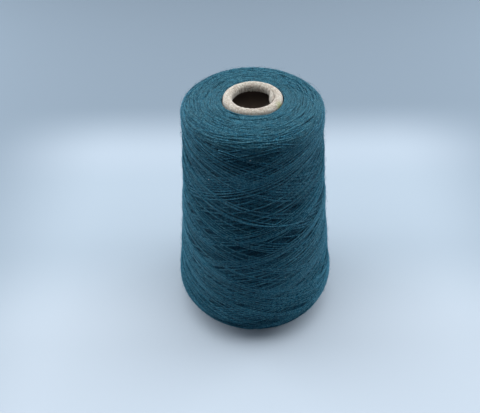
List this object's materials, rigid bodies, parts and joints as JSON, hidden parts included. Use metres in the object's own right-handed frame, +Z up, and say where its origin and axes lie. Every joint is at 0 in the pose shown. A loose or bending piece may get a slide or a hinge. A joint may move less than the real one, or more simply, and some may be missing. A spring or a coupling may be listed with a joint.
{
  "type": "cone of yarn",
  "caption": "Tapered package of cross-wound wool yarn on a paper former with a rolled nose; stands on its foot while the yarn is drawn off over the nose.",
  "frame": {"origin": "centre of the former's foot, on the surface that it stands on", "axes": "+Z up the former's axis from the foot to the nose; -Y is the front, where the last turn of yarn shows; +X passes through the cover paper's lap"},
  "size_m": [0.1114, 0.1114, 0.1703],
  "materials": {
    "liner_paper": "matte",
    "kraft_board": "matte",
    "cover_paper": "matte",
    "wool_yarn": "matte"
  },
  "bodies": {
    "root": {"liner_sheet": "liner_paper", "board_plies": "kraft_board", "cover_paper": "cover_paper", "wound_yarn": "wool_yarn", "yarn_end": "wool_yarn", "transfer_tail": "wool_yarn"}
  },
  "joints": []
}
